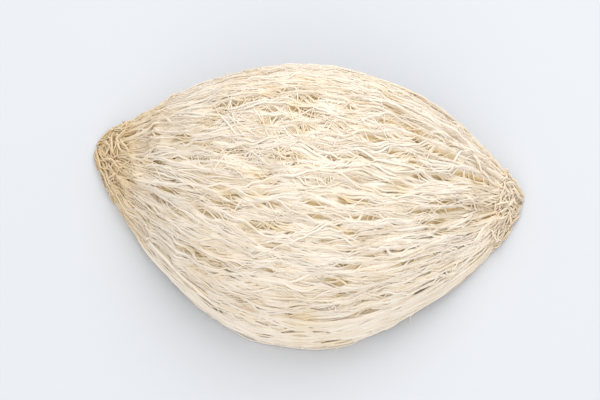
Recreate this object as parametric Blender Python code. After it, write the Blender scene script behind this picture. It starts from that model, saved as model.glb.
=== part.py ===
"""An edible bird's nest: the half cup that a swiftlet builds on a wall from strands of its own saliva.

It is one dried piece, so it is one solid. It lies hollow side down, as it is packed: the lip and the two
feet rest on the surface, and the back edge, which was peeled off the wall, arches over an opening.
X runs from foot to foot, -Y points from the wall to the lip, and Z is up. The origin is on the resting
surface, below the middle of the nest.
"""

from math import cos, pi, sin

import bmesh
import bpy
from mathutils import Vector, noise

MM = 0.001

# The cup, outside: from foot to foot, from the line between the feet to the lip and to the back, and up
LENGTH = 80.0 * MM
LIP_REACH = 37.0 * MM
BACK_REACH = 14.8 * MM
HEIGHT = 29.5 * MM

# What the wall takes from each of those, inside
FOOT_DEPTH = 9.0 * MM
LIP_THICKNESS = 3.6 * MM
BACK_THICKNESS = 2.8 * MM
CROWN_THICKNESS = 3.4 * MM

# The cup's taper towards each foot: a low power gives a full end and a high one a pointed end
LIP_TAPER = (0.86, 0.87)
RISE_TAPER = (1.26, 1.12)
FOOT_BLUNTNESS = 0.05
BULGE = 2.25

# How far the middle of the cup lies towards the right foot, as a share of half the length
LEAN = 0.05

# The back edge stops short of the surface and arches up between the feet
FULL_TURN = pi
ARCH_TURN = 0.46
ARCH_SPREAD = 0.55

# The lip touches the surface at its middle and near the feet, and lifts a little between
LIP_LIFT = 1.3 * MM
LIP_LIFT_REACH = 0.35

# The laminated strands, which run from foot to foot, stand up as ridges with pits between them
RIDGES = 26
RIDGE_HEIGHT = 1.0 * MM
RIDGE_WANDER = 1.5
RIDGE_STRENGTH = (0.65, 0.5)
PIT_DEPTH = 1.8 * MM
PIT_LEVEL = 0.12
LUMP_HEIGHT = 0.9 * MM
INNER_LUMP_HEIGHT = 0.7 * MM
LIP_WAVINESS = 1.2 * MM
BACK_RAGGEDNESS = 2.0 * MM

# Each grain of smooth noise: how many spots it has along the nest and across it, and its slice of the noise
WANDER_GRAIN = (1.6, 3.0, 0.0)
STRENGTH_GRAIN = (3.0, 9.0, 4.0)
PIT_GRAIN = (4.6, 0.7, 8.0)
LUMP_GRAIN = (2.4, 2.8, 12.0)
INNER_LUMP_GRAIN = (4.0, 6.0, 30.0)
LIP_GRAIN = (1.9, 0.0, 5.3)
TORN_GRAIN = (11.0, 0.0, 20.4)

# Where the relief dies out: a power towards the feet, and shares of the way across at the lip and the back
FOOT_FADE = 5
LIP_FADE = 0.05
BACK_FADE = 0.04
TORN_BAND = 0.07

STATIONS = 36
OUTER_STEPS = 78
INNER_STEPS = 30
PROBE_STEP = 0.01
NEAR_FOOT = 0.99


def grain(s, across, spots):
    """Smooth noise, from about -1 to 1."""
    along_spots, across_spots, cut = spots
    return noise.noise(Vector((along_spots * s, across_spots * across, cut)))


def taper(s, powers):
    """How wide or high the cup is at s, from -1 at the left foot to 1 at the right, as a share of its middle."""
    left, right = powers
    share = (s + 1.0) / 2.0
    share = share * share * (3.0 - 2.0 * share)
    power = left + (right - left) * share
    pointed = max(0.0, 1.0 - s * s) ** power
    blunt = max(0.0, 1.0 - s**8) ** 0.5
    return (1.0 - FOOT_BLUNTNESS) * pointed + FOOT_BLUNTNESS * blunt


def rounded(value):
    """A cosine or sine drawn out to a fuller curve than an ellipse's."""
    return abs(value) ** (2.0 / BULGE) * (1.0 if value >= 0.0 else -1.0)


def back_turn(s):
    """The angle at which the wall ends at the back, from 0 at the lip. At the feet it reaches the surface."""
    return FULL_TURN - ARCH_TURN * max(0.0, 1.0 - s * s) ** ARCH_SPREAD


def lip_lift(s):
    """How far the lip stands off the surface at s. It is 0 along the middle and near the feet."""
    wave = max(0.0, sin(pi * s) ** 2 - LIP_LIFT_REACH)
    return LIP_LIFT * wave / (1.0 - LIP_LIFT_REACH)


def on_cup(s, a, inside):
    """A point of the smooth cup: s runs from foot to foot, and a from 0 at the lip to 1 at the back edge."""
    half = LENGTH / 2 - inside * FOOT_DEPTH
    turn = a * back_turn(s)
    if turn < pi / 2:
        reach = LIP_REACH - inside * LIP_THICKNESS + LIP_WAVINESS * grain(s, a, LIP_GRAIN)
    else:
        reach = BACK_REACH - inside * BACK_THICKNESS
    rise = HEIGHT - inside * CROWN_THICKNESS
    y = -reach * taper(s, LIP_TAPER) * rounded(cos(turn))
    z = rise * taper(s, RISE_TAPER) * rounded(sin(turn))
    lift = lip_lift(s) * (1.0 - z / HEIGHT)
    x = half * (s + LEAN * (1.0 - s * s))
    return Vector((x, y, max(0.0, z) + lift))


def outward(s, a, inside):
    """The cup's outward direction at a point, from two short steps along it."""
    low_s, high_s = max(-NEAR_FOOT, s - PROBE_STEP), min(NEAR_FOOT, s + PROBE_STEP)
    low_a, high_a = max(0.0, a - PROBE_STEP), min(1.0, a + PROBE_STEP)
    along = on_cup(high_s, a, inside) - on_cup(low_s, a, inside)
    across = on_cup(s, high_a, inside) - on_cup(s, low_a, inside)
    return along.cross(across).normalized()


def strand_relief(s, a):
    """The height of the laminated strands over the smooth cup: long wandering ridges, short pits and lumps."""
    course = RIDGES * a + RIDGE_WANDER * grain(s, a, WANDER_GRAIN)
    middle, swing = RIDGE_STRENGTH
    ridge = 0.5 * sin(2.0 * pi * course) * (middle + swing * grain(s, a, STRENGTH_GRAIN))
    pit = max(0.0, grain(s, course, PIT_GRAIN) - PIT_LEVEL)
    return RIDGE_HEIGHT * ridge - PIT_DEPTH * pit + LUMP_HEIGHT * grain(s, a, LUMP_GRAIN)


def fade(s, a):
    """Relief dies out at the feet, where the strands bunch up, and at the lip, which rests on the surface."""
    to_feet = 1.0 - abs(s) ** FOOT_FADE
    return to_feet * min(1.0, a / LIP_FADE) * min(1.0, (1.0 - a) / BACK_FADE)


def ragged_back(s, a):
    """The back edge was torn from the wall, so it runs up and down."""
    near_back = max(0.0, a - 1.0 + TORN_BAND) / TORN_BAND
    return BACK_RAGGEDNESS * near_back * (1.0 - abs(s) ** FOOT_FADE) * grain(s, a, TORN_GRAIN)


def outer_point(s, a):
    if abs(s) == 1.0:
        return on_cup(s, a, 0.0)
    point = on_cup(s, a, 0.0) + outward(s, a, 0.0) * strand_relief(s, a) * fade(s, a)
    point.z = max(0.0, point.z + ragged_back(s, a))
    return point


def inner_point(s, a):
    if abs(s) == 1.0:
        return on_cup(s, a, 1.0)
    lumps = INNER_LUMP_HEIGHT * grain(s, a, INNER_LUMP_GRAIN)
    point = on_cup(s, a, 1.0) + outward(s, a, 1.0) * lumps * fade(s, a)
    point.z = max(0.0, point.z + ragged_back(s, a))
    return point


def skin(bm, point_at, steps, outside):
    """One face of the wall as rows of vertices, one row for each station, ending in a single one at each foot."""
    rows = []
    for i in range(STATIONS + 1):
        if i in (0, STATIONS):
            s = -1.0 if i == 0 else 1.0
            rows.append([bm.verts.new(point_at(s, 0.0))] * (steps + 1))
            continue
        s = sin(pi / 2 * (2.0 * i / STATIONS - 1.0))
        rows.append([bm.verts.new(point_at(s, j / steps)) for j in range(steps + 1)])
    for here, there in zip(rows, rows[1:]):
        for j in range(steps):
            add_face(bm, [here[j], here[j + 1], there[j + 1], there[j]], outside)
    return rows


def add_face(bm, corners, forward):
    """A face on the corners, without the ones that fall together at a foot."""
    kept = list(dict.fromkeys(corners))
    bm.faces.new(kept if forward else kept[::-1])


def edge_strip(bm, outer_rows, inner_rows, place, forward):
    """Closes the wall along the lip or along the back edge."""
    outer = [row[place] for row in outer_rows]
    inner = [row[place] for row in inner_rows]
    for i in range(STATIONS):
        add_face(bm, [outer[i], outer[i + 1], inner[i + 1], inner[i]], forward)


def nest_material():
    """Dried strands of saliva: creamy white, a little glossy, with no metal."""
    material = bpy.data.materials.new("dried_saliva_strands")
    material.use_nodes = True
    shader = material.node_tree.nodes["Principled BSDF"]
    shader.inputs["Base Color"].default_value = (0.86, 0.76, 0.60, 1.0)
    shader.inputs["Roughness"].default_value = 0.5
    shader.inputs["Metallic"].default_value = 0.0
    return material


def make_nest():
    bm = bmesh.new()
    outer_rows = skin(bm, outer_point, OUTER_STEPS, True)
    inner_rows = skin(bm, inner_point, INNER_STEPS, False)
    edge_strip(bm, outer_rows, inner_rows, 0, True)
    edge_strip(bm, outer_rows, inner_rows, -1, False)
    bmesh.ops.recalc_face_normals(bm, faces=bm.faces)
    xs = [vert.co.x for vert in bm.verts]
    ys = [vert.co.y for vert in bm.verts]
    middle = Vector(((min(xs) + max(xs)) / 2, (min(ys) + max(ys)) / 2, 0.0))
    bmesh.ops.translate(bm, verts=bm.verts, vec=-middle)
    mesh = bpy.data.meshes.new("nest")
    bm.to_mesh(mesh)
    bm.free()
    mesh.shade_smooth()
    mesh.materials.append(nest_material())
    nest = bpy.data.objects.new("nest", mesh)
    bpy.context.scene.collection.objects.link(nest)
    return nest


for leftover in list(bpy.data.objects):
    bpy.data.objects.remove(leftover)
make_nest()
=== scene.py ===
"""An edible bird's nest: a felted wall of dried saliva under thousands of strands of the same.

Everything is in metres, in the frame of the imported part. X runs from foot to foot, -Y points to the lip and
Z is up from the surface that the nest rests on.
"""

from functools import partial
from math import cos, pi, radians, sin

import bmesh
import bpy
import numpy as np
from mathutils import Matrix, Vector, noise


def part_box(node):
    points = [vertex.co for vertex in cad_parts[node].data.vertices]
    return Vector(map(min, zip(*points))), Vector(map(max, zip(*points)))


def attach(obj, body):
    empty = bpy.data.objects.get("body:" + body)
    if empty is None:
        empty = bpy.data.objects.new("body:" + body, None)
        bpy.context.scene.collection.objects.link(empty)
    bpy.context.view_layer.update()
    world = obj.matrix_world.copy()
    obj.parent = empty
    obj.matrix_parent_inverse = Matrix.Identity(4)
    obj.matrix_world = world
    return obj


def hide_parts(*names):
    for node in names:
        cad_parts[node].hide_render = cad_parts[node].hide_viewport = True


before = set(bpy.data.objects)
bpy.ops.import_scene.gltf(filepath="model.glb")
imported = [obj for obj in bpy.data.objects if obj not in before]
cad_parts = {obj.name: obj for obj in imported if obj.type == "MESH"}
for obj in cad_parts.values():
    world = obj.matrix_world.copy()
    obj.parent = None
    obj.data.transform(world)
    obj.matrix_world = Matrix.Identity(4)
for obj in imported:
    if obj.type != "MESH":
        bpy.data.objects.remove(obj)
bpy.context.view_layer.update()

MM = 0.001

# The wall
# It is the felted body of the half cup: dried saliva, laid down in wet threads that fused as they dried.
# It shows at the bottom of the slits between the strands, where painted shade turns its colour tan, and as
# the inside of the cup.

# The cup of the imported solid, outside and inside
nest_low, nest_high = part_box("nest")
cad_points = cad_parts["nest"].data.vertices
FOOT_LINE = max(cad_points, key=lambda point: point.co.x).co.y
LENGTH = nest_high.x - nest_low.x
LIP_REACH = 37.0 * MM
BACK_REACH = 14.8 * MM
HEIGHT = 29.5 * MM
FOOT_DEPTH = 9.0 * MM
LIP_THICKNESS = 3.6 * MM
BACK_THICKNESS = 2.8 * MM
CROWN_THICKNESS = 3.4 * MM
LIP_TAPER = (0.86, 0.87)
RISE_TAPER = (1.26, 1.12)
FOOT_BLUNTNESS = 0.05
LEAN = 0.05
BULGE = 2.25
ARCH_TURN = 0.46
ARCH_SPREAD = 0.55
LIP_LIFT = 1.3 * MM
LIP_LIFT_REACH = 0.35
LIP_WAVINESS = 1.2 * MM
LIP_GRAIN = (1.9, 0.0, 5.3)

# Its lumps and pits, with small tufts all over and knots towards the feet
LUMP_HEIGHT = 0.9 * MM
LUMP_GRAIN = (2.4, 2.8, 12.0)
INNER_LUMP_HEIGHT = 0.63 * MM
INNER_LUMP_GRAIN = (4.0, 6.0, 30.0)
PIT_DEPTH = 1.8 * MM
PIT_LEVEL = 0.12
PIT_GRAIN = (4.6, 0.7, 8.0)
PIT_ROWS = 26
PIT_ROW_WANDER = 1.5
PIT_ROW_GRAIN = (1.6, 3.0, 0.0)
TUFT_HEIGHT = 0.4 * MM
TUFT_LEVEL = 0.25
TUFT_GRAIN = (13.0, 18.0, 70.0)
KNOT_HEIGHT = 2.2 * MM
KNOT_LEVEL = 0.12
KNOT_GRAIN = (21.0, 11.0, 80.0)
KNOTS_FROM = 0.35
KNOTS_FULL_AFTER = 0.35

# The slits between the strands, which lie in wandering rows, one more open patch of them, and the lip's fold
SLIT_DEPTH = 0.62 * MM
SLIT_LEVEL = 0.13
SLIT_SOFTNESS = 0.22
SLIT_GRAIN = (7.4, 0.9, 52.0)
SLIT_ROWS = 58
SLIT_ROW_WANDER = 2.0
SLIT_ROW_GRAIN = (1.6, 5.0, 40.0)
SLIT_ROW_FINE_SHARE = 0.4
SLIT_ROW_FINE_GRAIN = (4.0, 16.0, 44.0)
SLIT_PATCHINESS = 0.15
SLIT_PATCH_GRAIN = (1.5, 2.6, 60.0)
SLIT_FADE = 14
SLITS_CLOSE_AT_LIP = 0.02
SLITS_CLOSE_AT_BACK = 0.03
SLIT_PARTING = 1.3e-4
SLIT_PARTING_LEVEL = 0.1
CLOSER_AT_LIP = 0.1
CLOSER_REACH = 0.3
OPEN_PATCH = (-0.25, 0.57)
OPEN_PATCH_SIZE = (0.25, 0.09)
OPEN_PATCH_STRENGTH = 0.16
LIP_FOLD = 0.042
LIP_FOLD_WIDTH = 0.009
LIP_FOLD_STRENGTH = 0.45
LIP_FOLD_WANDER = 0.5
LIP_FOLD_LINE_GRAIN = (3.2, 0.0, 64.0)
LIP_FOLD_SHARE = (0.55, 2.0)
LIP_FOLD_GRAIN = (4.5, 0.0, 66.0)

# The wall's own mesh and its fine ridges. It lies a little under the strands, and its colour carries a little
# painted shade all over.
WALL_STATIONS = 190
WALL_OUTER_STEPS = 240
WALL_INNER_STEPS = 70
LEAST_SHADE = 0.2
WALL_SINK = 0.36 * MM
INNER_SINK_SHARE = 0.5
SINK_FADE = 9
FOOT_FADE = 5
EDGE_BAND = 0.03
EDGE_ROUNDING = 0.9 * MM
RIDGE_HEIGHT = 0.3 * MM
RIDGE_ROWS = 64
RIDGE_ROW_WANDER = 2.5
RIDGE_ROW_GRAIN = (2.6, 7.0, 40.0)
RIDGE_STRENGTH = (0.6, 0.5)
RIDGE_GRAIN = (7.0, 30.0, 48.0)


def grain(s, a, spots):
    """Smooth noise from about -1 to 1, with so many spots along the cup and across it, in one slice of it."""
    along, across, place = spots
    pairs = zip((along * s).ravel(), (across * a).ravel())
    return np.array([noise.noise(Vector((u, v, place))) for u, v in pairs]).reshape(s.shape)


def taper(s, powers):
    """How wide or high the cup is at s, -1 at the left foot and 1 at the right, as a share of its middle."""
    share = (s + 1.0) / 2.0
    share = share * share * (3.0 - 2.0 * share)
    power = powers[0] + (powers[1] - powers[0]) * share
    pointed = np.maximum(0.0, 1.0 - s * s) ** power
    blunt = np.maximum(0.0, 1.0 - s**8) ** 0.5
    return (1.0 - FOOT_BLUNTNESS) * pointed + FOOT_BLUNTNESS * blunt


def rounded(value):
    """A cosine or sine drawn out to a fuller curve than an ellipse's."""
    return np.abs(value) ** (2.0 / BULGE) * np.sign(value)


def cup(s, a, inside):
    """Points of the smooth cup: s runs from foot to foot, and a from 0 at the lip to 1 at the back edge."""
    turn = a * (pi - ARCH_TURN * np.maximum(0.0, 1.0 - s * s) ** ARCH_SPREAD)
    to_lip = LIP_REACH - inside * LIP_THICKNESS + LIP_WAVINESS * grain(s, a, LIP_GRAIN)
    to_back = BACK_REACH - inside * BACK_THICKNESS
    reach = np.where(turn < pi / 2, to_lip, to_back)
    rise = HEIGHT - inside * CROWN_THICKNESS
    y = -reach * taper(s, LIP_TAPER) * rounded(np.cos(turn))
    z = rise * taper(s, RISE_TAPER) * rounded(np.sin(turn))
    wave = np.maximum(0.0, np.sin(pi * s) ** 2 - LIP_LIFT_REACH) / (1.0 - LIP_LIFT_REACH)
    z = np.maximum(0.0, z) + LIP_LIFT * wave * (1.0 - z / HEIGHT)
    x = (LENGTH / 2 - inside * FOOT_DEPTH) * (s + LEAN * (1.0 - s * s))
    return np.stack([x, y + FOOT_LINE, z], axis=-1)


def outward(points):
    """The direction that a grid of points faces, from its neighbours along and across."""
    facing = np.cross(np.gradient(points, axis=0), np.gradient(points, axis=1))
    length = np.linalg.norm(facing, axis=-1, keepdims=True)
    return facing / np.maximum(length, 1e-12)


def broad_relief(s, a, inside):
    """The relief that the strands follow too: lumps, pits, tufts and knots outside, and soft lumps inside."""
    if inside:
        return INNER_LUMP_HEIGHT * grain(s, a, INNER_LUMP_GRAIN)
    row = PIT_ROWS * a + PIT_ROW_WANDER * grain(s, a, PIT_ROW_GRAIN)
    pit = np.maximum(0.0, grain(s, row, PIT_GRAIN) - PIT_LEVEL)
    tuft = TUFT_HEIGHT * (grain(s, a, TUFT_GRAIN) - TUFT_LEVEL)
    to_foot = np.clip((np.abs(s) - KNOTS_FROM) / KNOTS_FULL_AFTER, 0.0, 1.0)
    knot = KNOT_HEIGHT * to_foot * np.maximum(0.0, grain(s, a, KNOT_GRAIN) - KNOT_LEVEL)
    return LUMP_HEIGHT * grain(s, a, LUMP_GRAIN) - PIT_DEPTH * pit + tuft + knot


def looseness(s, a):
    """How loosely the strands lie at each place. The felt opens into a slit where this passes SLIT_LEVEL."""
    wander = grain(s, a, SLIT_ROW_GRAIN) + SLIT_ROW_FINE_SHARE * grain(s, a, SLIT_ROW_FINE_GRAIN)
    row = SLIT_ROWS * a + SLIT_ROW_WANDER * wander
    closer = CLOSER_AT_LIP * np.clip(1.0 - a / CLOSER_REACH, 0.0, 1.0)
    patchy = SLIT_PATCHINESS * grain(s, a, SLIT_PATCH_GRAIN) - closer
    patch_s = (s - OPEN_PATCH[0]) / OPEN_PATCH_SIZE[0]
    patch_a = (a - OPEN_PATCH[1]) / OPEN_PATCH_SIZE[1]
    open_patch = OPEN_PATCH_STRENGTH * np.exp(-(patch_s**2 + patch_a**2))
    fold_line = LIP_FOLD * (1.0 + LIP_FOLD_WANDER * grain(s, a, LIP_FOLD_LINE_GRAIN))
    folded = np.clip(LIP_FOLD_SHARE[0] + LIP_FOLD_SHARE[1] * grain(s, a, LIP_FOLD_GRAIN), 0.0, 1.0)
    fold = LIP_FOLD_STRENGTH * folded * np.exp(-(((a - fold_line) / LIP_FOLD_WIDTH) ** 2))
    return grain(s, row, SLIT_GRAIN) + patchy + open_patch + fold


def slits(s, a):
    """How open the felt is, from 0 to 1, and how far strands part to pass round its slits."""
    loose = looseness(s, a)
    slope = np.gradient(loose, a[0], axis=1)
    parting = -SLIT_PARTING * slope * np.clip(loose / SLIT_PARTING_LEVEL, 0.0, 1.0)
    opened = np.clip((loose - SLIT_LEVEL) / SLIT_SOFTNESS, 0.0, 1.0)
    past_lip = np.clip(a / SLITS_CLOSE_AT_LIP, 0.0, 1.0)
    past_back = np.clip((1.0 - a) / SLITS_CLOSE_AT_BACK, 0.0, 1.0)
    kept = (1.0 - np.abs(s) ** SLIT_FADE) * past_lip * past_back
    return opened * opened * (3.0 - 2.0 * opened) * kept, parting * kept


def wall_face(stations, steps, inside):
    """One face of the wall, row by row from the lip to the back edge: its points, its painted slit shade and
    its courses.
    """
    s, a = np.meshgrid(stations, np.linspace(0.0, 1.0, steps + 1), indexing="ij")
    points = cup(s, a, inside)
    past_lip = np.minimum(1.0, a / EDGE_BAND)
    past_back = np.minimum(1.0, (1.0 - a) / EDGE_BAND)
    fade = (1.0 - np.abs(s) ** FOOT_FADE) * past_lip * past_back
    row = RIDGE_ROWS * a + RIDGE_ROW_WANDER * grain(s, a, RIDGE_ROW_GRAIN)
    ridge = np.sin(2.0 * pi * row) * (RIDGE_STRENGTH[0] + RIDGE_STRENGTH[1] * grain(s, a, RIDGE_GRAIN))
    slit = slits(s, a)[0]
    fine = RIDGE_HEIGHT * ridge * fade - SLIT_DEPTH * slit
    tucked = EDGE_ROUNDING * ((1.0 - past_lip) ** 2 + (1.0 - past_back) ** 2)
    sunk = WALL_SINK * (1.0 - inside * INNER_SINK_SHARE) * (1.0 - np.abs(s) ** SINK_FADE)
    side = -1.0 if inside else 1.0
    lift = broad_relief(s, a, inside) * fade + side * (fine - tucked - sunk)
    points = points + outward(points) * lift[..., None]
    points[..., 2] = np.maximum(0.0, points[..., 2])
    # Painted shade: the wall's colour is deepened a little all over, and fully where a slit is open
    slit_shades = LEAST_SHADE + (1.0 - LEAST_SHADE) * slit
    courses = np.stack([s, a, np.full_like(s, inside)], axis=-1)
    return points, slit_shades, courses


def join_rows(faces, rows_here, rows_there):
    """Faces between two rows of vertex numbers, without the corners that fall together at a foot."""
    for here, there, beyond, past in zip(rows_here, rows_here[1:], rows_there[1:], rows_there):
        corners = list(dict.fromkeys((here, there, beyond, past)))
        if len(corners) > 2:
            faces.append(corners)


def make_wall():
    """The wall as one closed shell: an outer face, an inner one, and strips that join them at both edges."""
    stations = np.sin(pi / 2 * np.linspace(-1.0, 1.0, WALL_STATIONS + 1))
    points, slit_shades, courses, rows = [], [], [], []
    for steps, inside in ((WALL_OUTER_STEPS, 0.0), (WALL_INNER_STEPS, 1.0)):
        face_points, face_slit_shades, face_courses = wall_face(stations, steps, inside)
        face_rows = []
        for i in range(WALL_STATIONS + 1):
            at_foot = i in (0, WALL_STATIONS)
            count = 1 if at_foot else steps + 1
            first = len(points)
            points.extend(face_points[i, :count])
            slit_shades.extend(face_slit_shades[i, :count])
            courses.extend(face_courses[i, :count])
            face_rows.append([first] * (steps + 1) if at_foot else list(range(first, first + count)))
        rows.append(face_rows)
    faces = []
    for face_rows in rows:
        for here, there in zip(face_rows, face_rows[1:]):
            join_rows(faces, here, there)
    for edge in (0, -1):
        join_rows(faces, [row[edge] for row in rows[0]], [row[edge] for row in rows[1]])
    mesh = bpy.data.meshes.new("nest_wall")
    mesh.from_pydata(points, [], faces)
    shell = bmesh.new()
    shell.from_mesh(mesh)
    bmesh.ops.recalc_face_normals(shell, faces=shell.faces)
    shell.to_mesh(mesh)
    shell.free()
    # The painted slit shade goes to the material as a point attribute
    slit_shade_layer = mesh.attributes.new("slit_shade", "FLOAT", "POINT")
    slit_shade_layer.data.foreach_set("value", np.array(slit_shades, np.float32))
    fibre_layer = mesh.attributes.new("fibres", "FLOAT_VECTOR", "POINT")
    fibre_layer.data.foreach_set("vector", np.array(courses, np.float32).ravel())
    mesh.shade_smooth()
    mesh.update()
    wall = bpy.data.objects.new("nest_wall", mesh)
    bpy.context.scene.collection.objects.link(wall)
    return wall


def linear(hex_colour):
    """A colour written as sRGB hex, as the linear values that a shader takes."""
    parts = [int(hex_colour[i : i + 2], 16) / 255 for i in (1, 3, 5)]
    return [p / 12.92 if p <= 0.04045 else ((p + 0.055) / 1.055) ** 2.4 for p in parts] + [1.0]


def add(tree, kind, inputs=(), **settings):
    """Adds a node with its settings. Each input, by number or name, is linked or given a value."""
    made = tree.nodes.new(kind)
    for name, value in settings.items():
        setattr(made, name, value)
    for place, value in dict(inputs).items():
        if isinstance(value, bpy.types.NodeSocket):
            tree.links.new(value, made.inputs[place])
        else:
            made.inputs[place].default_value = value
    return made


# Where the tan of the feet begins and is full, on both sides of a line a little to the right of the middle
TAN_SHIFT = 3.0 * MM
TAN_START = 28.0 * MM
TAN_END = 42.0 * MM
TAN_STRENGTH = 0.85
TAN_WANDER = 14.0 * MM

# The paler and deeper patches, and the grain of the dried film, which shows as a bump and as duller specks
PATCH_WIDTH = 9.0 * MM
PATCH_STRENGTH = 1.1
GRAIN_SPACING = 1.2 * MM
GRAIN_HEIGHT = 0.12 * MM
GRAIN_STRENGTH = 0.3
GRAIN_RANGE = (0.3, 0.7)
GLOSS_SPREAD = (-0.06, 0.1)

# The wall's fibres, which are about 3 mm long and 0.4 mm apart at the middle of the nest. They and the grain
# are drawn coarser than the real ones, so that they show.
FIBRE_SPOTS = (14.0, 190.0, 1.0)
FIBRE_HEIGHT = 0.35 * MM


def dried_saliva(name, pale, deep_and_shaded, foot, shade_from, shade_range, roughness, fibrous=False):
    """Dried saliva: an ivory, softly glossy, slightly see-through film, tan where it is thick, and deepened
    by painted shade in the slits.
    """
    material = bpy.data.materials.new(name)
    material.use_nodes = True
    tree = material.node_tree
    put = partial(add, tree)
    shader = tree.nodes["Principled BSDF"]
    place = put("ShaderNodeTexCoord").outputs["Object"]
    patch_noise = {"Vector": place, "Scale": 1.0 / PATCH_WIDTH, "Detail": 2.0}
    patches = put("ShaderNodeTexNoise", patch_noise).outputs[0]
    grain_noise = {"Vector": place, "Scale": 1.0 / GRAIN_SPACING, "Detail": 3.0}
    specks = put("ShaderNodeTexNoise", grain_noise).outputs[0]

    # The body goes from its pale to its deeper colour with the painted shade of the slits, with a strand's
    # own tone as well, and in patches
    shade = put("ShaderNodeAttribute", attribute_name=shade_from).outputs["Fac"]
    ranged = put("ShaderNodeMapRange", {0: shade, 1: shade_range[0], 2: shade_range[1]}).outputs[0]
    uneven = put("ShaderNodeMath", {0: patches, 1: 0.5}, operation="SUBTRACT").outputs[0]
    mixing = {0: uneven, 1: PATCH_STRENGTH, 2: ranged}
    mixed = put("ShaderNodeMath", mixing, operation="MULTIPLY_ADD", use_clamp=True).outputs[0]
    shades = {"Factor": mixed, "A": linear(pale), "B": linear(deep_and_shaded)}
    body = put("ShaderNodeMix", shades, data_type="RGBA").outputs["Result"]

    # The feet, where the bird began on the bare wall, are thicker and tan
    sideways = put("ShaderNodeSeparateXYZ", {0: place}).outputs["X"]
    shifted = put("ShaderNodeMath", {0: sideways, 1: TAN_SHIFT}, operation="SUBTRACT").outputs[0]
    from_middle = put("ShaderNodeMath", {0: shifted}, operation="ABSOLUTE").outputs[0]
    wavering = {0: uneven, 1: TAN_WANDER, 2: from_middle}
    wavy = put("ShaderNodeMath", wavering, operation="MULTIPLY_ADD").outputs[0]
    foot_range = {0: wavy, 1: TAN_START, 2: TAN_END, 3: 0.0, 4: TAN_STRENGTH}
    near_foot = put("ShaderNodeMapRange", foot_range).outputs[0]
    feet = {"Factor": near_foot, "A": body, "B": linear(foot)}
    colour = put("ShaderNodeMix", feet, data_type="RGBA").outputs["Result"]

    # The film is duller and glossier in specks. The wall also shows the fused fibres that it is made of.
    glossier = roughness + GLOSS_SPREAD[0]
    duller = roughness + GLOSS_SPREAD[1]
    speck_range = {0: specks, 1: GRAIN_RANGE[0], 2: GRAIN_RANGE[1], 3: glossier, 4: duller}
    gloss = put("ShaderNodeMapRange", speck_range).outputs[0]
    relief = {"Height": specks, "Strength": GRAIN_STRENGTH, "Distance": GRAIN_HEIGHT}
    if fibrous:
        laid = put("ShaderNodeAttribute", attribute_name="fibres").outputs["Vector"]
        drawn = put("ShaderNodeVectorMath", {0: laid, 1: FIBRE_SPOTS}, operation="MULTIPLY").outputs[0]
        fibre_noise = {"Vector": drawn, "Scale": 1.0, "Detail": 3.0, "Distortion": 0.4}
        fibres = put("ShaderNodeTexNoise", fibre_noise).outputs[0]
        relief = {"Height": fibres, "Strength": 1.0, "Distance": FIBRE_HEIGHT}
    bump = put("ShaderNodeBump", relief).outputs[0]
    tree.links.new(colour, shader.inputs["Base Color"])
    tree.links.new(gloss, shader.inputs["Roughness"])
    tree.links.new(bump, shader.inputs["Normal"])
    shader.inputs["IOR"].default_value = 1.5
    shader.inputs["Specular IOR Level"].default_value = 0.25
    shader.inputs["Subsurface Weight"].default_value = 0.12
    shader.inputs["Subsurface Radius"].default_value = (1.0, 0.93, 0.8)
    shader.inputs["Subsurface Scale"].default_value = 0.5 * MM
    return material


# Felted saliva gives the eye a dull ivory ground. The tan in its slits is painted shade.
wall = make_wall()
felt = dried_saliva(
    "felted_saliva", pale="#F6EAD6", deep_and_shaded="#E6CFA2", foot="#DFC38E", shade_from="slit_shade",
    shade_range=(LEAST_SHADE, 1.0), roughness=0.55, fibrous=True,
)
wall.data.materials.append(felt)
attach(wall, "root")
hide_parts("nest")


# The strands
# Each strand is one pull of wet saliva from side to side of the nest, dried to a flat, wavy thread. They run
# from foot to foot, cross each other at a slant and leave long, narrow slits between them.

GUIDE_STATIONS = 170
GUIDE_STEPS = 300
GUIDE_REACH = 0.999
SUNK_SHARE = 0.45


def guide_mesh(name, s, courses, points, facing, slit, parting):
    """A guide surface from a grid of points, with its courses, the way that it faces and its slits."""
    columns = points.shape[1]
    faces = []
    for i in range(points.shape[0] - 1):
        for j in range(columns - 1):
            here = i * columns + j
            faces.append((here, here + 1, here + columns + 1, here + columns))
    mesh = bpy.data.meshes.new(name)
    mesh.from_pydata(points.reshape(-1, 3), [], faces)
    spots = np.stack([(s + 1.0) / 2.0, courses, np.zeros_like(s)], axis=-1)
    felt = np.stack([parting, slit, np.zeros_like(s)], axis=-1)
    for label, values in (("courses", spots), ("facing", facing), ("felt", felt)):
        layer = mesh.attributes.new(label, "FLOAT_VECTOR", "POINT")
        layer.data.foreach_set("vector", values.astype(np.float32).ravel())
    return mesh


def face_guide(name, inside):
    """The outer or the inner face of the cup, with the broad relief that the strands follow."""
    stations = np.sin(pi / 2 * np.linspace(-1.0, 1.0, GUIDE_STATIONS + 1)) * GUIDE_REACH
    s, a = np.meshgrid(stations, np.linspace(0.0, 1.0, GUIDE_STEPS + 1), indexing="ij")
    points = cup(s, a, inside)
    facing = outward(points)
    fade = (1.0 - np.abs(s) ** FOOT_FADE) * np.minimum(1.0, a / EDGE_BAND)
    side = -1.0 if inside else 1.0
    slit, parting = slits(s, a)
    lift = broad_relief(s, a, inside) * fade - side * SUNK_SHARE * SLIT_DEPTH * slit
    return guide_mesh(name, s, a, points + facing * lift[..., None], facing * side, slit, parting)


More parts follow.
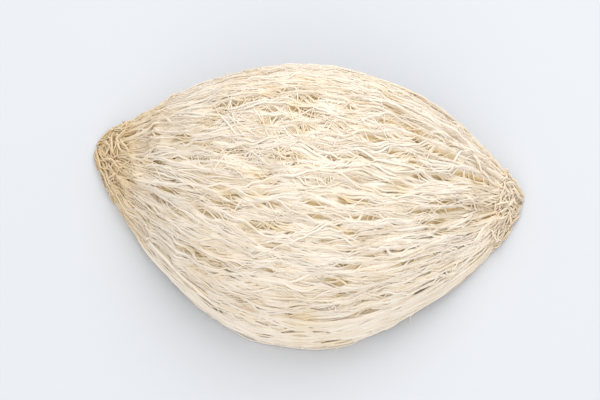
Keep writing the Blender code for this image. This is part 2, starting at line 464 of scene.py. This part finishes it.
# How often a strand swings in the nest's length, in each way. Strands of one bundle wander together, those of
# one smaller lock part together, and each strand's kinks, ripples and thickness are its own.
WANDER_SWINGS = 3.5
PARTING_SWINGS = 12.0
KINK_SWINGS = 9.0
RIPPLE_SWINGS = 11.0
THICKNESS_SWINGS = 16.0
THICKNESS_UNEVENNESS = 1.6
BUNDLES = 12.0
LOCKS = 34.0
LOCKS_PLACE = 50.0
OWN_PLACES = 200.0

# How much of a strand each end takes, how thick the tip is, how much painted shade deepens its colour in a
# slit, and the step from one layer's seeds to the next
END_SHARE = 0.14
END_THICKNESS = 0.25
SLIT_SHADE = 0.75
SEED_STEP = 20.0

STRAND_INPUTS = (
    ("Strands", "NodeSocketInt", 400),
    ("Points", "NodeSocketInt", 30),
    ("Sides", "NodeSocketInt", 6),
    ("Shortest", "NodeSocketFloat", 0.25),
    ("Longest", "NodeSocketFloat", 0.6),
    ("Thinnest", "NodeSocketFloat", 0.2 * MM),
    ("Thickest", "NodeSocketFloat", 0.5 * MM),
    ("Lowest", "NodeSocketFloat", -0.3 * MM),
    ("Highest", "NodeSocketFloat", 0.2 * MM),
    ("Slant", "NodeSocketFloat", 0.04),
    ("Wander", "NodeSocketFloat", 0.03),
    ("Parting", "NodeSocketFloat", 0.02),
    ("Kink", "NodeSocketFloat", 0.008),
    ("Yield", "NodeSocketFloat", 1.0),
    ("Ripple", "NodeSocketFloat", 0.3 * MM),
    ("Flatness", "NodeSocketFloat", 0.5),
    ("Dip", "NodeSocketFloat", 0.5 * MM),
    ("Left", "NodeSocketFloat", 0.01),
    ("Right", "NodeSocketFloat", 0.99),
    ("From", "NodeSocketFloat", 0.004),
    ("To", "NodeSocketFloat", 0.996),
    ("Seed", "NodeSocketInt", 1),
    ("Material", "NodeSocketMaterial", None),
)


def strand_tree():
    """Lays strands over a guide surface, each along its own wandering course from foot to foot."""
    tree = bpy.data.node_groups.new("strands_over_cup", "GeometryNodeTree")
    tree.interface.new_socket("Geometry", in_out="INPUT", socket_type="NodeSocketGeometry")
    for name, kind, value in STRAND_INPUTS:
        socket = tree.interface.new_socket(name, in_out="INPUT", socket_type=kind)
        if value is not None:
            socket.default_value = value
    tree.interface.new_socket("Geometry", in_out="OUTPUT", socket_type="NodeSocketGeometry")
    put = partial(add, tree)
    given = put("NodeGroupInput").outputs
    index = put("GeometryNodeInputIndex").outputs[0]

    # One straight line for each strand, which keeps its strand's number
    points = put("GeometryNodePoints", {"Count": given["Strands"]}).outputs[0]
    number = {0: points, "Name": "strand", 3: index}
    numbered = put("GeometryNodeStoreNamedAttribute", number, data_type="INT").outputs[0]
    line = put("GeometryNodeCurvePrimitiveLine", {"End": (1.0, 0.0, 0.0)}).outputs[0]
    divided = put("GeometryNodeResampleCurve", {0: line, "Count": given["Points"]}).outputs[0]
    placed = put("GeometryNodeInstanceOnPoints", {"Points": numbered, "Instance": divided}).outputs[0]
    lines = put("GeometryNodeRealizeInstances", {0: placed}).outputs[0]
    strand = put("GeometryNodeInputNamedAttribute", {0: "strand"}, data_type="INT").outputs[0]
    t = put("GeometryNodeSplineParameter").outputs[0]
    seeds = put("ShaderNodeMath", {0: given["Seed"], 1: SEED_STEP}, operation="MULTIPLY").outputs[0]

    def chance(number, low, high):
        """A number of a strand's own, between two others."""
        seed = put("ShaderNodeMath", {0: seeds, 1: float(number)}).outputs[0]
        return put("FunctionNodeRandomValue", {2: low, 3: high, "ID": strand, "Seed": seed}).outputs[1]

    # Where the strand runs: along from foot to foot, and across from the lip to the back edge
    span = chance(1, given["Shortest"], given["Longest"])
    room = put("ShaderNodeMath", {0: given["Right"], 1: span}, operation="SUBTRACT").outputs[0]
    start = chance(2, given["Left"], room)
    along = put("ShaderNodeMath", {0: t, 1: span, 2: start}, operation="MULTIPLY_ADD").outputs[0]
    course = chance(3, given["From"], given["To"])
    no_slant = put("ShaderNodeMath", {0: given["Slant"], 1: -1.0}, operation="MULTIPLY").outputs[0]
    slant = chance(4, no_slant, given["Slant"])
    middle = put("ShaderNodeMath", {0: t, 1: 0.5}, operation="SUBTRACT").outputs[0]
    slanted = put("ShaderNodeMath", {0: slant, 1: middle, 2: course}, operation="MULTIPLY_ADD").outputs[0]
    own = chance(5, 0.0, OWN_PLACES)

    def wave(long, wide, amount, base):
        """Adds a smooth wandering to a number. Strands that lie close share it, as far as wide says."""
        there = put("ShaderNodeCombineXYZ", {0: along, 1: wide, 2: given["Seed"]}).outputs[0]
        stretch = {0: there, 1: (long, 1.0, 1.0)}
        stretched = put("ShaderNodeVectorMath", stretch, operation="MULTIPLY").outputs[0]
        swing_noise = {"Vector": stretched, "Scale": 1.0, "Detail": 1.0}
        swing = put("ShaderNodeTexNoise", swing_noise).outputs[0]
        centred = put("ShaderNodeMath", {0: swing, 1: 0.5}, operation="SUBTRACT").outputs[0]
        return put("ShaderNodeMath", {0: centred, 1: amount, 2: base}, operation="MULTIPLY_ADD").outputs[0]

    bundle = put("ShaderNodeMath", {0: slanted, 1: BUNDLES}, operation="MULTIPLY").outputs[0]
    locks = {0: slanted, 1: LOCKS, 2: LOCKS_PLACE}
    lock = put("ShaderNodeMath", locks, operation="MULTIPLY_ADD").outputs[0]
    wandering = wave(WANDER_SWINGS, bundle, given["Wander"], slanted)
    parted = wave(PARTING_SWINGS, lock, given["Parting"], wandering)
    across = wave(KINK_SWINGS, own, given["Kink"], parted)
    bounds = {0: across, 1: given["From"], 2: given["To"], 3: given["From"], 4: given["To"]}
    kept = put("ShaderNodeMapRange", bounds).outputs[0]

    def sample(value, where):
        """What the guide surface holds at a place."""
        inputs = {0: given["Geometry"], 1: value, 2: courses, 3: where}
        return put("GeometryNodeSampleUVSurface", inputs, data_type="FLOAT_VECTOR").outputs[0]

    # It leaves the course where a slit lies, and passes round it
    vector = {"data_type": "FLOAT_VECTOR"}
    courses = put("GeometryNodeInputNamedAttribute", {0: "courses"}, **vector).outputs[0]
    felt = put("GeometryNodeInputNamedAttribute", {0: "felt"}, **vector).outputs[0]
    planned = put("ShaderNodeCombineXYZ", {0: along, 1: kept}).outputs[0]
    parting = put("ShaderNodeSeparateXYZ", {0: sample(felt, planned)}).outputs[0]
    passing = {0: parting, 1: given["Yield"], 2: kept}
    passed = put("ShaderNodeMath", passing, operation="MULTIPLY_ADD").outputs[0]
    where = put("ShaderNodeCombineXYZ", {0: along, 1: passed}).outputs[0]

    # How thick it is and how high it lies. Both fall off at its ends, which sink in between the others.
    to_end = put("ShaderNodeMath", {0: t, 1: 0.5}, operation="PINGPONG").outputs[0]
    end_range = {0: to_end, 1: 0.0, 2: END_SHARE}
    ends = put("ShaderNodeMapRange", end_range, interpolation_type="SMOOTHSTEP").outputs[0]
    sinking = put("ShaderNodeMath", {0: 1.0, 1: ends}, operation="SUBTRACT").outputs[0]
    high = chance(6, given["Lowest"], given["Highest"])
    rippled = wave(RIPPLE_SWINGS, own, given["Ripple"], high)
    dip = put("ShaderNodeMath", {0: sinking, 1: given["Dip"]}, operation="MULTIPLY").outputs[0]
    height = put("ShaderNodeMath", {0: rippled, 1: dip}, operation="SUBTRACT").outputs[0]
    thickness = chance(7, given["Thinnest"], given["Thickest"])
    uneven = wave(THICKNESS_SWINGS, own, THICKNESS_UNEVENNESS, 1.0)
    tapered = put("ShaderNodeMapRange", {0: ends, 3: END_THICKNESS, 4: 1.0}).outputs[0]
    varied = put("ShaderNodeMath", {0: thickness, 1: uneven}, operation="MULTIPLY").outputs[0]
    radius = put("ShaderNodeMath", {0: varied, 1: tapered}, operation="MULTIPLY").outputs[0]

    # The line laid on the guide surface
    facing = put("GeometryNodeInputNamedAttribute", {0: "facing"}, **vector).outputs[0]
    position = put("GeometryNodeInputPosition").outputs[0]
    ground, upright = [sample(value, where) for value in (position, facing)]
    slit = put("ShaderNodeSeparateXYZ", {0: sample(felt, where)}).outputs[1]
    # Painted shade: a strand in a slit gets a deeper colour, added on top of its own random tone
    toning_and_shading = {0: slit, 1: SLIT_SHADE, 2: chance(8, 0.0, 1.0)}
    tone = put("ShaderNodeMath", toning_and_shading, operation="MULTIPLY_ADD").outputs[0]
    raised = put("ShaderNodeVectorMath", {0: upright, "Scale": height}, operation="SCALE").outputs[0]
    spot = put("ShaderNodeVectorMath", {0: ground, 1: raised}).outputs[0]
    out_value = {0: lines, "Name": "out", 3: upright}
    keep_out = put("GeometryNodeStoreNamedAttribute", out_value, **vector).outputs[0]
    tone_and_shade_value = {0: keep_out, "Name": "tone", 3: tone}
    keep_tone_and_shade = put("GeometryNodeStoreNamedAttribute", tone_and_shade_value).outputs[0]
    thick_value = {0: keep_tone_and_shade, "Name": "thick", 3: radius}
    keep_thick = put("GeometryNodeStoreNamedAttribute", thick_value).outputs[0]
    laid = put("GeometryNodeSetPosition", {0: keep_thick, "Position": spot}).outputs[0]
    centre_value = {0: laid, "Name": "centre", 3: position}
    centred = put("GeometryNodeStoreNamedAttribute", centre_value, **vector).outputs[0]

    # The thread round the line, flattened towards the cup, and never below what the nest rests on
    ring = put("GeometryNodeCurvePrimitiveCircle", {"Resolution": given["Sides"], "Radius": 1.0}).outputs[0]
    thick = put("GeometryNodeInputNamedAttribute", {0: "thick"}).outputs[0]
    profile = {0: centred, 1: ring, "Scale": thick, "Fill Caps": True}
    tube = put("GeometryNodeCurveToMesh", profile).outputs[0]
    centre = put("GeometryNodeInputNamedAttribute", {0: "centre"}, **vector).outputs[0]
    out = put("GeometryNodeInputNamedAttribute", {0: "out"}, **vector).outputs[0]
    away = put("ShaderNodeVectorMath", {0: position, 1: centre}, operation="SUBTRACT").outputs[0]
    proud = put("ShaderNodeVectorMath", {0: away, 1: out}, operation="DOT_PRODUCT").outputs["Value"]
    pressed = put("ShaderNodeMath", {0: given["Flatness"], 1: 1.0}, operation="SUBTRACT").outputs[0]
    amount = put("ShaderNodeMath", {0: proud, 1: pressed}, operation="MULTIPLY").outputs[0]
    push = put("ShaderNodeVectorMath", {0: out, "Scale": amount}, operation="SCALE").outputs[0]
    flat = put("GeometryNodeSetPosition", {0: tube, "Offset": push}).outputs[0]
    above = {0: position, 1: (-1.0, -1.0, 0.0)}
    upward = put("ShaderNodeVectorMath", above, operation="MAXIMUM").outputs[0]
    plain = put("GeometryNodeSetPosition", {0: flat, "Position": upward}).outputs[0]

    # The mesh keeps its own tone, with the painted shade of the slits, for the material, and no helper
    for helper in ("strand", "out", "thick", "centre"):
        plain = put("GeometryNodeRemoveAttribute", {0: plain, "Name": helper}).outputs[0]
    smooth = put("GeometryNodeSetShadeSmooth", {0: plain}).outputs[0]
    real = put("GeometryNodeRealizeInstances", {0: smooth}).outputs[0]
    finished = put("GeometryNodeSetMaterial", {0: real, "Material": given["Material"]}).outputs[0]
    put("NodeGroupOutput", {0: finished})
    return tree


def lay_strands(name, tree, surface, **sizes):
    """Runs the tree over a copy of a guide surface and keeps the plain mesh that it makes."""
    holder = bpy.data.objects.new(name + "_guide", surface)
    bpy.context.scene.collection.objects.link(holder)
    modifier = holder.modifiers.new("strands", "NODES")
    modifier.node_group = tree
    items = tree.interface.items_tree
    sockets = {item.name: item.identifier for item in items if item.in_out == "INPUT"}
    for label, value in sizes.items():
        modifier[sockets[label]] = value
    bpy.context.view_layer.update()
    shown = holder.evaluated_get(bpy.context.evaluated_depsgraph_get())
    mesh = bpy.data.meshes.new_from_object(shown)
    mesh.name = name
    holder.modifiers.remove(modifier)
    bpy.data.objects.remove(holder)
    made = bpy.data.objects.new(name, mesh)
    bpy.context.scene.collection.objects.link(made)
    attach(made, "root")
    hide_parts("nest")
    return made


# Thread saliva gives the eye pale ivory strands with a soft shine, each of its own tone, with painted shade
# making it darker in a slit
threads = dried_saliva(
    "dried_saliva_threads", pale="#FDF2E3", deep_and_shaded="#F0DBB6", foot="#E0C494", shade_from="tone",
    shade_range=(0.5, 1.8), roughness=0.42,
)
outer_face = face_guide("outer_face", inside=0.0)
tree = strand_tree()
lay_strands(
    "bedded_strands", tree, outer_face, Strands=560, Points=30, Sides=5, Shortest=0.2, Longest=0.55,
    Thinnest=0.2 * MM, Thickest=0.48 * MM, Lowest=-0.45 * MM, Highest=-0.15 * MM, Slant=0.04, Wander=0.06,
    Parting=0.026, Kink=0.008, Ripple=0.45 * MM, Flatness=0.38, Dip=0.5 * MM, Seed=3, Material=threads,
)
lay_strands(
    "top_strands", tree, outer_face, Strands=850, Points=21, Sides=5, Shortest=0.08, Longest=0.32,
    Thinnest=0.1 * MM, Thickest=0.28 * MM, Lowest=-0.25 * MM, Highest=0.12 * MM, Slant=0.07, Wander=0.06,
    Parting=0.032, Kink=0.026, Ripple=0.5 * MM, Flatness=0.38, Dip=0.6 * MM, Seed=3, Material=threads,
)
lay_strands(
    "fine_threads", tree, outer_face, Strands=620, Points=20, Sides=4, Shortest=0.04, Longest=0.25,
    Thinnest=0.05 * MM, Thickest=0.13 * MM, Lowest=-0.15 * MM, Highest=0.18 * MM, Slant=0.07, Wander=0.06,
    Parting=0.032, Kink=0.03, Ripple=0.5 * MM, Flatness=0.9, Dip=0.5 * MM, Seed=5, Material=threads,
)
lay_strands(
    "cross_threads", tree, outer_face, Strands=600, Points=10, Sides=5, Shortest=0.02, Longest=0.07,
    Thinnest=0.06 * MM, Thickest=0.16 * MM, Lowest=-0.7 * MM, Highest=-0.1 * MM, Slant=0.10, Wander=0.06,
    Parting=0.0, Kink=0.02, Yield=0.0, Ripple=0.4 * MM, Flatness=0.8, Dip=0.3 * MM, Seed=6, Material=threads,
)

# A negative dip makes the ends rise out of the felt
lay_strands(
    "stray_ends", tree, outer_face, Strands=520, Points=10, Sides=4, Shortest=0.03, Longest=0.09,
    Thinnest=0.05 * MM, Thickest=0.13 * MM, Lowest=-0.5 * MM, Highest=-0.05 * MM, Slant=0.07, Wander=0.06,
    Parting=0.0, Kink=0.03, Yield=0.0, Ripple=0.3 * MM, Flatness=0.9, Dip=-1.05 * MM, Seed=17,
    Material=threads,
)
lay_strands(
    "crossed_web", tree, outer_face, Strands=300, Points=13, Sides=5, Shortest=0.04, Longest=0.13,
    Thinnest=0.07 * MM, Thickest=0.19 * MM, Lowest=-0.3 * MM, Highest=0.05 * MM, Slant=0.14, Wander=0.06,
    Parting=0.02, Kink=0.05, Yield=0.4, Ripple=0.6 * MM, Flatness=0.6, Dip=0.5 * MM, Left=0.2, Right=0.62,
    From=0.42, To=0.78, Seed=13, Material=threads,
)


# The lip and the back edge
# The bird ends the cup with a lip of strands laid side by side, close and hard. The back edge held the nest
# to the wall, and it is torn: broken ends and short crossed threads stand out along it.

EDGE_REACH = 0.985
EDGE_STEPS = 13
EDGE_STEPS_BETWEEN = 9


def edge_guide(name, edge, outer_reach, inner_reach):
    """The surface round the lip (edge 0) or the back edge (edge 1): down the outer face and up the inner."""
    stations = np.sin(pi / 2 * np.linspace(-1.0, 1.0, GUIDE_STATIONS + 1)) * EDGE_REACH
    outer = np.linspace(outer_reach, 0.0, EDGE_STEPS)
    inner = np.linspace(0.0, inner_reach, EDGE_STEPS)
    sides = []
    for reaches, inside in ((outer, 0.0), (inner, 1.0)):
        s, reach = np.meshgrid(stations, reaches, indexing="ij")
        face = cup(s, np.abs(edge - reach), inside)
        tucked = EDGE_ROUNDING * np.maximum(0.0, 1.0 - reach / EDGE_BAND) ** 2
        sides.append(face + outward(face) * tucked[..., None] * (1.0 - 2.0 * edge))
    last, first = sides[0][:, -1:], sides[1][:, :1]
    shares = np.linspace(0.1, 0.9, EDGE_STEPS_BETWEEN)
    between = [last * (1.0 - share) + first * share for share in shares]
    points = np.concatenate([sides[0], *between, sides[1]], axis=1)
    s, courses = np.meshgrid(stations, np.linspace(0.0, 1.0, points.shape[1]), indexing="ij")
    facing = outward(points) * (2.0 * edge - 1.0)
    none = np.zeros_like(s)
    return guide_mesh(name, s, courses, points, facing, none, none)


lip = edge_guide("lip", edge=0.0, outer_reach=0.10, inner_reach=0.07)
lay_strands(
    "lip_strands", tree, lip, Strands=170, Points=34, Sides=5, Shortest=0.2, Longest=0.6,
    Thinnest=0.2 * MM, Thickest=0.5 * MM, Lowest=-0.15 * MM, Highest=0.25 * MM, Slant=0.2, Wander=0.1,
    Parting=0.05, Kink=0.10, Ripple=0.5 * MM, Flatness=0.65, Dip=0.6 * MM, Seed=7, Material=threads,
)
back = edge_guide("back", edge=1.0, outer_reach=0.08, inner_reach=0.08)
lay_strands(
    "back_strands", tree, back, Strands=360, Points=20, Sides=5, Shortest=0.06, Longest=0.3,
    Thinnest=0.12 * MM, Thickest=0.42 * MM, Lowest=-0.1 * MM, Highest=0.5 * MM, Slant=0.3, Wander=0.2,
    Parting=0.1, Kink=0.12, Ripple=0.9 * MM, Flatness=0.7, Dip=0.4 * MM, Seed=8, Material=threads,
)
lay_strands(
    "frayed_ends", tree, back, Strands=200, Points=8, Sides=4, Shortest=0.006, Longest=0.03,
    Thinnest=0.08 * MM, Thickest=0.24 * MM, Lowest=-0.1 * MM, Highest=0.2 * MM, Slant=0.35, Wander=0.1,
    Parting=0.0, Kink=0.1, Ripple=0.6 * MM, Flatness=0.9, Dip=-0.9 * MM, From=0.1, To=0.7, Seed=18,
    Material=threads,
)


# The feet
# The two feet are where the nest was stuck to the wall. Short strands cross there in all directions and are
# fused into hard tan lumps.

FOOT_STRANDS = (("left_foot_strands", 0.004, 0.17, 11), ("right_foot_strands", 0.82, 0.996, 12))
FOOT_ENDS = (("left_foot_ends", 0.0, 0.07, 14), ("right_foot_ends", 0.93, 1.0, 15))
for name, left, right, seed in FOOT_STRANDS:
    lay_strands(
        name, tree, outer_face, Strands=300, Points=12, Sides=5, Shortest=0.03, Longest=0.10,
        Thinnest=0.1 * MM, Thickest=0.32 * MM, Lowest=-0.5 * MM, Highest=0.12 * MM, Slant=0.10, Wander=0.06,
        Parting=0.0, Kink=0.04, Ripple=0.7 * MM, Flatness=0.65, Dip=0.6 * MM, Left=left, Right=right,
        Seed=seed, Material=threads,
    )

for name, left, right, seed in FOOT_ENDS:
    lay_strands(
        name, tree, outer_face, Strands=230, Points=8, Sides=5, Shortest=0.008, Longest=0.03,
        Thinnest=0.08 * MM, Thickest=0.22 * MM, Lowest=-0.2 * MM, Highest=0.8 * MM, Slant=0.2, Wander=0.1,
        Parting=0.0, Kink=0.1, Ripple=1.2 * MM, Flatness=0.8, Dip=0.9 * MM, Left=left, Right=right,
        Seed=seed, Material=threads,
    )


# The net inside
# Inside, the cup is lined with an open net of thinner threads of the same dried saliva. They cross at random
# and are fused to the wall and to each other.

inner_face = face_guide("inner_face", inside=1.0)
lay_strands(
    "inner_net", tree, inner_face, Strands=300, Points=20, Sides=5, Shortest=0.12, Longest=0.5,
    Thinnest=0.14 * MM, Thickest=0.42 * MM, Lowest=-0.3 * MM, Highest=0.5 * MM, Slant=0.45, Wander=0.15,
    Parting=0.05, Kink=0.06, Ripple=0.9 * MM, Flatness=0.75, Dip=0.6 * MM, Seed=9, Material=threads,
)


# The floor, light and camera
# The floor is a sheet of pale matt paper. One soft lamp stands behind the nest and one in front, and the
# camera looks down on it from a little to the right.

FLOOR_REACH = 3.0

# Matt paper gives the eye an even, pale grey ground without a shine
paper = bpy.data.materials.new("matt_paper")
paper.use_nodes = True
paper.node_tree.nodes["Principled BSDF"].inputs["Base Color"].default_value = linear("#D6DAE1")
paper.node_tree.nodes["Principled BSDF"].inputs["Roughness"].default_value = 0.9
corners = [(x * FLOOR_REACH, y * FLOOR_REACH, 0.0) for x, y in ((-1, -1), (1, -1), (1, 1), (-1, 1))]
floor_mesh = bpy.data.meshes.new("floor")
floor_mesh.from_pydata(corners, [], [(0, 1, 2, 3)])
floor_mesh.materials.append(paper)
floor = bpy.data.objects.new("floor", floor_mesh)
bpy.context.scene.collection.objects.link(floor)

world = bpy.data.worlds.new("soft_room")
world.use_nodes = True
world.node_tree.nodes["Background"].inputs["Color"].default_value = linear("#F8F6F2")
world.node_tree.nodes["Background"].inputs["Strength"].default_value = 0.76
bpy.context.scene.world = world


def towards(azimuth, elevation):
    """The direction from the nest to that side, in degrees from the lip's side, and to that height."""
    side, up = radians(azimuth), radians(elevation)
    return Vector((sin(side) * cos(up), -cos(side) * cos(up), sin(up)))


def soft_lamp(name, azimuth, elevation, distance, size, watts):
    """A square lamp that faces the nest from that side and height."""
    light = bpy.data.lights.new(name, "AREA")
    light.size = size
    light.energy = watts
    lamp = bpy.data.objects.new(name, light)
    back = towards(azimuth, elevation)
    lamp.location = back * distance
    lamp.rotation_euler = (-back).to_track_quat("-Z", "Y").to_euler()
    bpy.context.scene.collection.objects.link(lamp)


soft_lamp("key_from_behind", azimuth=170.0, elevation=52.0, distance=0.6, size=0.5, watts=1.9)
soft_lamp("fill_from_front", azimuth=8.0, elevation=50.0, distance=0.8, size=0.7, watts=2.15)

CAMERA_AZIMUTH = 8.5
CAMERA_ELEVATION = 60.5
TARGET_HEIGHT = 11.0 * MM
VIEW_WIDTH = 110.0 * MM
LENS = 350.0
SENSOR = 36.0
camera_data = bpy.data.cameras.new("camera")
camera_data.lens = LENS
camera_data.sensor_width = SENSOR
camera = bpy.data.objects.new("camera", camera_data)
to_camera = towards(CAMERA_AZIMUTH, CAMERA_ELEVATION)
target = Vector((0.0, 0.0, TARGET_HEIGHT))
camera.location = target + to_camera * (VIEW_WIDTH * LENS / SENSOR)
camera.rotation_euler = (-to_camera).to_track_quat("-Z", "Y").to_euler()
bpy.context.scene.collection.objects.link(camera)
bpy.context.scene.camera = camera
bpy.context.scene.view_settings.view_transform = "Standard"
